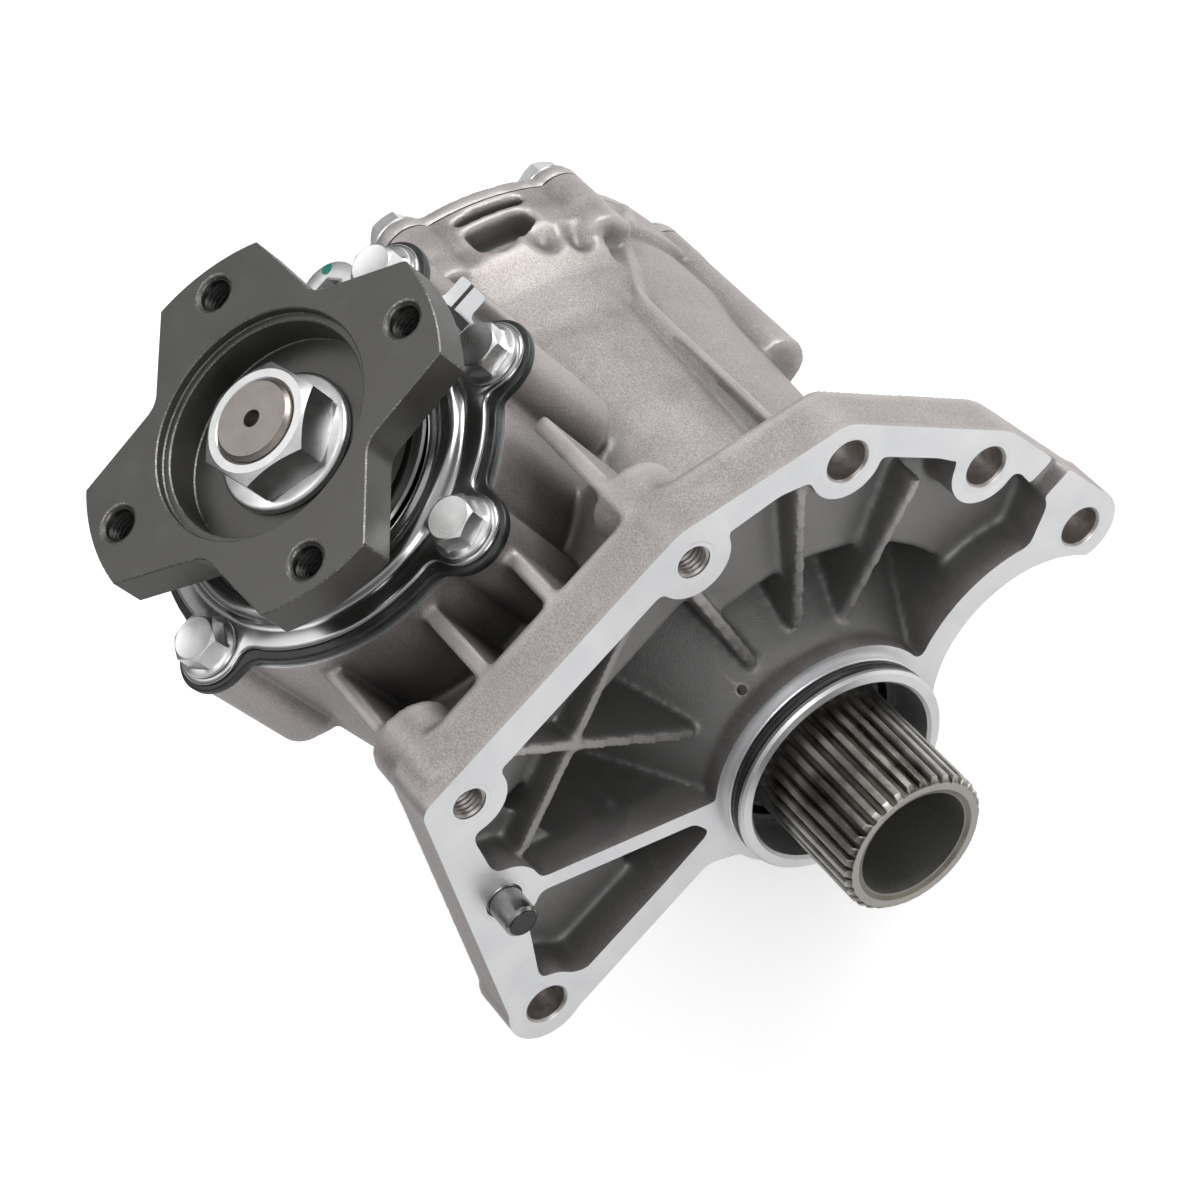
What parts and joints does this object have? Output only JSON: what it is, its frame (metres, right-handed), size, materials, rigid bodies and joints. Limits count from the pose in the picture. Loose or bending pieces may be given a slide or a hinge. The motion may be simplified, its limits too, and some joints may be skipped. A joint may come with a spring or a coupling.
{
  "type": "transfer case",
  "caption": "Power transfer unit with a hollow splined input shaft, a hypoid gear pair and a lobed output flange at right angles on a cast aluminium case.",
  "frame": {"origin": "centre of the input spigot at the transmission mounting face", "axes": "+X along the input shaft, out of the mounting face; +Z along the output pinion, out of the companion flange; +Y completes the frame"},
  "size_m": [0.2403, 0.2206, 0.233],
  "materials": {
    "cast_aluminium": "blasted die casting with machined joint faces",
    "bare_steel": "oiled machined steel",
    "bright_steel": "bright pressed or ground steel",
    "zinc": "white zinc plate",
    "black_oxide": "machined steel, dark phosphate",
    "black_rubber": "moulded black rubber"
  },
  "bodies": {
    "case": {"main_case": "cast_aluminium", "side_cover": "cast_aluminium", "cover_sealant": "black_rubber", "cover_bolts": "zinc", "transaxle_dowel": "bare_steel", "spigot_o_ring": "black_rubber", "input_seal": "black_rubber", "input_bearing_cup": "bare_steel", "side_bearing_cup": "bare_steel", "side_bearing_shim": "bare_steel", "halfshaft_seal": "black_rubber", "pinion_head_cup": "bare_steel", "pinion_head_shim": "bare_steel", "pinion_tail_cup": "bare_steel", "retainer_gasket": "black_rubber", "retainer_plate": "bright_steel", "retainer_bolts": "zinc", "pinion_seal": "black_rubber", "filler_plug": "zinc", "filler_washer": "bright_steel", "drain_plug": "zinc", "drain_washer": "bright_steel", "sump_magnet": "bare_steel", "breather": "zinc"},
    "input_shaft_assembly": {"input_shaft": "bare_steel", "gear_carrier": "bare_steel", "ring_gear": "bare_steel", "ring_gear_bolts": "black_oxide", "input_bearing_cone": "bare_steel", "input_bearing_rollers": "bright_steel", "side_bearing_cone": "bare_steel", "side_bearing_rollers": "bright_steel"},
    "output_pinion_assembly": {"pinion_shaft": "bare_steel", "pinion_head_cone": "bare_steel", "pinion_head_rollers": "bright_steel", "crush_spacer": "bare_steel", "pinion_tail_cone": "bare_steel", "pinion_tail_rollers": "bright_steel", "companion_flange": "black_oxide", "dust_deflector": "bright_steel", "flange_washer": "zinc", "pinion_nut": "zinc"}
  },
  "joints": [
    {"name": "input_spin", "type": "hinge", "parent": "case", "child": "input_shaft_assembly", "pos_m": [0, 0, 0], "axis": [1, 0, 0], "continuous": true},
    {"name": "output_spin", "type": "hinge", "parent": "case", "child": "output_pinion_assembly", "pos_m": [-0.1024, -0.032, 0], "axis": [0, 0, 1], "continuous": true}
  ],
  "couplings": [
    {"joint": "output_spin", "follows": "input_spin", "ratio": -2.4737}
  ]
}
